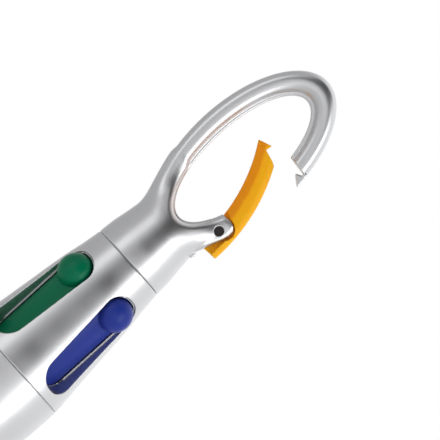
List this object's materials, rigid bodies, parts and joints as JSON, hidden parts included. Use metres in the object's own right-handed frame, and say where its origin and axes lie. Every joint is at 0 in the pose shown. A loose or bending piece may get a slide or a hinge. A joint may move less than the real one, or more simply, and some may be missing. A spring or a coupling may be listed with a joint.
{
  "type": "multicolor click pen",
  "caption": "Multicolour click pen with a satin silver barrel, coloured slide buttons in slots, and a carabiner loop with an orange hinged gate.",
  "frame": {"origin": "the point inside the top of the carabiner loop that a hook or cord bears on", "axes": "+Z along the pen, loop up and writing tip down; X lies in the loop's plane with the gate on +X; -Y faces the viewer, with the green slide on -X and the blue one on +X"},
  "size_m": [0.0192, 0.0192, 0.1399],
  "materials": {
    "silver_shell": "satin",
    "chromed_tip": "polished",
    "white_inner": "satin",
    "dark_pin": "satin",
    "orange_gate": "gloss",
    "green_slider": "gloss",
    "blue_slider": "gloss",
    "red_slider": "gloss",
    "black_slider": "gloss",
    "spring_steel": "satin",
    "refill_plastic": "satin",
    "green_ink": "gloss",
    "blue_ink": "gloss",
    "red_ink": "gloss",
    "black_ink": "gloss",
    "brass_tip": "satin",
    "ball_steel": "polished"
  },
  "bodies": {
    "pen_body": {"top_cap": "silver_shell", "upper_barrel": "silver_shell", "lower_barrel": "silver_shell", "nose_cone": "chromed_tip", "inner_sleeve": "white_inner", "spring_plate": "white_inner", "center_core": "white_inner", "hinge_pin": "dark_pin", "spring_green": "spring_steel", "spring_blue": "spring_steel", "spring_red": "spring_steel", "spring_black": "spring_steel"},
    "gate": {"gate": "orange_gate"},
    "slide_green": {"slider_green": "green_slider", "refill_tube_green": "refill_plastic", "refill_ink_green": "green_ink", "refill_tip_green": "brass_tip", "refill_ball_green": "ball_steel"},
    "slide_blue": {"slider_blue": "blue_slider", "refill_tube_blue": "refill_plastic", "refill_ink_blue": "blue_ink", "refill_tip_blue": "brass_tip", "refill_ball_blue": "ball_steel"},
    "slide_red": {"slider_red": "red_slider", "refill_tube_red": "refill_plastic", "refill_ink_red": "red_ink", "refill_tip_red": "brass_tip", "refill_ball_red": "ball_steel"},
    "slide_black": {"slider_black": "black_slider", "refill_tube_black": "refill_plastic", "refill_ink_black": "black_ink", "refill_tip_black": "brass_tip", "refill_ball_black": "ball_steel"}
  },
  "joints": [
    {"name": "gate_hinge", "type": "hinge", "parent": "pen_body", "child": "gate", "pos_m": [0.00581, 0, -0.02376], "axis": [0, 1, 0], "range_deg": [-15, 22]},
    {"name": "push_green", "type": "slide", "parent": "pen_body", "child": "slide_green", "axis": [0, 0, -1], "range_m": [0, 0.012], "stiffness_N_per_m": 80, "springref_m": -0.006, "deforming": ["spring_green"]},
    {"name": "push_blue", "type": "slide", "parent": "pen_body", "child": "slide_blue", "axis": [0, 0, -1], "range_m": [0, 0.012], "stiffness_N_per_m": 80, "springref_m": -0.006, "deforming": ["spring_blue"]},
    {"name": "push_red", "type": "slide", "parent": "pen_body", "child": "slide_red", "axis": [0, 0, -1], "range_m": [0, 0.012], "stiffness_N_per_m": 80, "springref_m": -0.006, "deforming": ["spring_red"]},
    {"name": "push_black", "type": "slide", "parent": "pen_body", "child": "slide_black", "axis": [0, 0, -1], "range_m": [0, 0.012], "stiffness_N_per_m": 80, "springref_m": -0.006, "deforming": ["spring_black"]}
  ]
}
